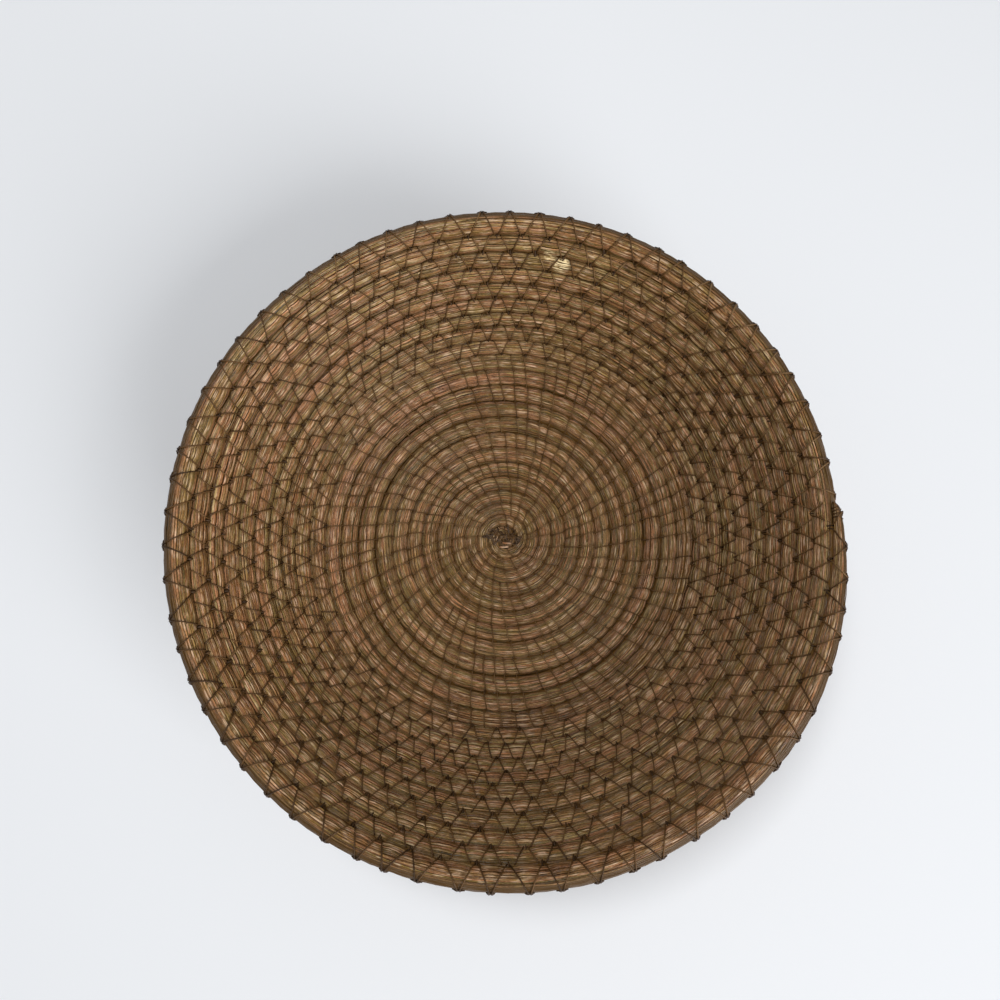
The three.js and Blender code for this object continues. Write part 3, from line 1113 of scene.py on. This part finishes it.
# Each leg runs from its V's point in the seam below, up the inside, over the edge and down the outside
def makeRimStitches():
    mesh = TubeMesh(6)
    insides = sectionOf(np.array(rim["inside"]), rimStart)
    outsides = -sectionOf(np.array(rim["outside"]), rimStart)
    sections = np.concatenate([insides, np.radians(rim["edge"]), outsides])
    edge = math.radians(rim["silhouette"])
    towardsEdge = legShare(sections, rimStart + 0.5, 0, edge)
    last = rim["outside"][-1]
    backAgain = (sectionPlace(sections, rimStart)[0] - last) / (sectionPlace(edge, rimStart)[0] - last)
    share = np.clip(np.where(sections > edge - 0.01, towardsEdge, backAgain), 0, 1)
    hump = np.concatenate([np.zeros(len(insides)), rim["hump"], np.zeros(len(outsides))])
    lift = threadLift + rim["lift"] + hump * rim["humpLift"]
    lift = lift + np.array(rim["raised"]) * rim["raise"] * deepestDip
    lift[-1] = rim["lastLift"]
    start = len(rim["below"])
    belowSections = sectionOf(rim["below"], rimStart)
    belowLift = threadLift + np.array(rim["belowLift"])
    radii = np.concatenate([np.ones(start), 1 + hump * (rim["humpSize"] - 1)])
    darker = rim["humpTone"] * np.concatenate([np.ones(start), hump])
    room = 1 / stitches["wallCount"]
    part = rim["legsPart"] / (fullTurn * rimAxis)
    points = wallStitches[wallStitches > rimStart]
    stray = chance.normal(0, rim["humpStray"] * room, len(points) - 1)
    humps = (points[:-1] + points[1:]) / 2 + stray
    humps = np.concatenate([[points[0] - room / 2], humps, [points[-1] + room / 2]])
    for place, before, after in zip(points, humps[:-1], humps[1:]):
        for way, top in ((-1, before + part), (1, after - part)):
            apex = place + way * room * stitches["apex"]
            below, belowAway = onSection(rowAt(np.full(start, apex - 1)), belowSections, belowLift)
            row = rowAt(np.minimum(apex + (top - apex) * share, lastTurn - rim["freeEnd"]))
            path, away = onSection(row, sections, lift + hump * rim["humpLift"] * chance.uniform(-0.6, 0.6))
            girth = stitches["threadRadius"] * chance.uniform(*rim["girths"])
            # The rim's thread gets painted light on the lit side
            mesh.add(
                np.concatenate([below, path]),
                np.concatenate([belowAway, away]),
                girth * radii ** chance.uniform(*rim["humpGirths"]),
                chance.uniform(*rim["tones"]) + rim["heldTone"] * heldShare(place) - darker,
            )
    for place in humps[:-1]:
        along = np.array(rim["lump"]) * chance.uniform(*rim["lumpLengths"])
        row = rowAt(place + along / (fullTurn * rimAxis))
        path, away = onSection(row, np.full(len(along), edge + chance.normal(0, 0.1)), 0.0)
        mesh.add(path, away, stitches["threadRadius"] * np.array(rim["lumpRadii"]), -0.2)
    return mesh.build("rim_stitches", threadFinish)


finishPiece(makeRimStitches(), "waxed_thread", "rim_stitching")


# The binding round the tip
binding = {
    "wraps": 4,
    "pitch": 0.0014,
    "inset": 0.0024,         # from the end of the needles
    "stepsRound": 16,
}


def makeTipBinding():
    mesh = TubeMesh(6)
    steps = binding["wraps"] * binding["stepsRound"]
    wraps = np.arange(steps + 1) / binding["stepsRound"]
    back = (binding["inset"] + wraps * binding["pitch"]) / (fullTurn * rimAxis)
    row = rowAt(lastTurn - back)
    path, away = onSection(row, wraps * fullTurn, 0.0)
    mesh.add(path, away, stitches["threadRadius"], 0.05)
    return mesh.build("tip_wraps", threadFinish)


finishPiece(makeTipBinding(), "waxed_thread", "tip_binding")


# The eye: the bundle's first end curls in to the middle, and a tangle of thread holds it shut
eye = {
    "strands": 20,                     # needles of the curl
    "curlTurns": 0.95,
    "middle": 0.0006,                  # how near it comes to the middle
    "endSize": 0.4,                    # and its size there against its start
    "top": 0.0058,                     # height of the curl
    "tangle": (0.0102, 0.0046),        # half its length and width
    "tangleMiddle": (-0.0002, 0.0010),
    "threads": 84,
    "shortest": 0.0022,
    "longest": 0.0062,
    "bend": 0.0035,                    # how much they bend
    "dive": 0.0012,                    # how deep a stretch of thread goes in at its ends
    # Two bits of needle caught in the tangle: x, y, degrees turned and length
    "bits": ((0.0010, -0.0022, -3, 0.0054), (-0.0006, -0.0042, 2, 0.0048)),
    "bitRadius": 0.0006,
}


def curlRow(share):
    outward = pointing(angleAt(firstTurn - share * eye["curlTurns"]))
    radius = bundle["startRadius"] * (1 - share) + eye["middle"] * share
    size = 1 - (1 - eye["endSize"]) * share
    thickness = bundle["thickness"] * growth(0.0) / 2
    height = eye["top"] - thickness * size
    return {
        "turns": 0 * share,
        "centre": outward * radius[:, None] + up * height[:, None],
        "across": outward,
        "inward": np.broadcast_to(up, outward.shape),
        "halfWidth": bundle["startPitch"] / 2 * size * bundle["press"],
        "halfThickness": thickness * size,
    }


# Height of the needles' skin near the eye
def skinHeight(x, y):
    radius = np.hypot(x, y)
    share = ((np.arctan2(y, x) - bundle["tipAngle"]) / fullTurn + turnsInAll) % 1
    height = np.full(radius.shape, eye["top"] - 0.0004)
    for turnsOut in range(3):
        row = rowAt(share + turnsOut)
        across = np.clip(np.abs(radius - row["radius"]) / row["halfWidth"], 0, 1)
        crown = np.sqrt(1 - across ** 2)
        height = np.maximum(height, row["centre"][..., 2] + row["halfThickness"] * crown)
    return height


# A short bent stretch that lies on the eye and dives in at both ends
def eyeStretch(x, y, angle, length, bend, lift):
    along = np.linspace(-0.5, 0.5, 8)
    forward = length * along
    sideways = bend * (along ** 2 - 0.1)
    x = x + forward * math.cos(angle) - sideways * math.sin(angle)
    y = y + forward * math.sin(angle) + sideways * math.cos(angle)
    height = skinHeight(x, y)
    height = np.maximum(height, (np.roll(height, 1) + np.roll(height, -1)) / 2)
    height = height + lift - eye["dive"] * (2 * np.abs(along)) ** 4
    return np.stack([x, y, height], -1), np.tile(up, (len(along), 1))


def makeCurl():
    mesh = TubeMesh(4, needles["flatness"])
    share = np.linspace(0, 1, 14)
    row = curlRow(share)
    for strand in range(eye["strands"]):
        section = fullTurn * strand / eye["strands"] + share * chance.normal(0, 0.5)
        radii = needles["radius"] * (1 - 0.3 * share)
        path, away = onSection(row, section, -radii * 0.7 - chance.uniform(0, 0.0003))
        keepAbove(path, radii * needles["flatness"])
        # The curl's needles get half of a seam's painted shade
        mesh.add(path, away, radii, chance.uniform(0, 0.5), 0.5)
    for x, y, turned, length in eye["bits"]:
        path, away = eyeStretch(x, y, math.radians(turned), length, 0.0006, 0.0005)
        mesh.add(path, away, eye["bitRadius"], 0.6, 0.0, 1.6)
    return mesh.build("needles_eye", needleFinish)


finishPiece(makeCurl(), "pine_needle", "needle_coil")


def makeEyeKnot():
    mesh = TubeMesh(5)
    for _ in range(eye["threads"]):
        angle = chance.uniform(0, fullTurn)
        far = math.sqrt(chance.uniform())
        x = eye["tangleMiddle"][0] + eye["tangle"][0] * far * math.cos(angle)
        y = eye["tangleMiddle"][1] + eye["tangle"][1] * far * math.sin(angle)
        length = chance.uniform(eye["shortest"], eye["longest"])
        turned = angle + chance.normal(0, 0.9)
        bend = chance.normal(0, eye["bend"])
        path, away = eyeStretch(x, y, turned, length, bend, chance.uniform(-0.0001, 0.0002))
        radius = stitches["threadRadius"] * chance.uniform(0.7, 1.0)
        mesh.add(path, away, radius, chance.uniform(-0.4, 0.5), 0.0, chance.uniform(-0.4, 0.9))
    return mesh.build("eye_knot", threadFinish)


finishPiece(makeEyeKnot(), "waxed_thread", "centre_knot")
print("basket made of", len(pieces), "pieces")


# Floor, world and lights
studio = {
    "floorSize": 8.0,
    "floorColour": (0.80, 0.82, 0.85, 1),
    "floorRoughness": 0.9,
    "floorShine": 0.15,
    "world": 0.28,
    "keyPower": 9.5,
    "keySize": 0.45,
    "keyPlace": (-0.30, 0.38, 1.42),
    "windowPower": 66.0,
    "windowSize": 1.8,
    "windowPlace": (1.53, -1.64, 1.1),
}


def addLight(name, place, size, power):
    bpy.ops.object.light_add(type="AREA", location=place)
    light = bpy.context.object
    light.name = name
    light.data.size = size
    light.data.energy = power
    light.rotation_euler = (-light.location).to_track_quat("-Z", "Y").to_euler()


def makeStudio():
    bpy.ops.mesh.primitive_plane_add(size=studio["floorSize"], location=(0, 0, 0))
    floor = bpy.context.object
    floor.name = "floor"
    finish = Finish("floor")
    finish.set(
        Base_Color=studio["floorColour"],
        Roughness=studio["floorRoughness"],
        Specular_IOR_Level=studio["floorShine"],
    )
    floor.data.materials.append(finish.material)
    addLight("key light", studio["keyPlace"], studio["keySize"], studio["keyPower"])
    addLight("window light", studio["windowPlace"], studio["windowSize"], studio["windowPower"])
    world = bpy.data.worlds.new("studio")
    world.use_nodes = True
    world.node_tree.nodes["Background"].inputs["Color"].default_value = (1, 1, 1, 1)
    world.node_tree.nodes["Background"].inputs["Strength"].default_value = studio["world"]
    bpy.context.scene.world = world
    bpy.context.scene.view_settings.view_transform = "Standard"


makeStudio()
print("studio lit")
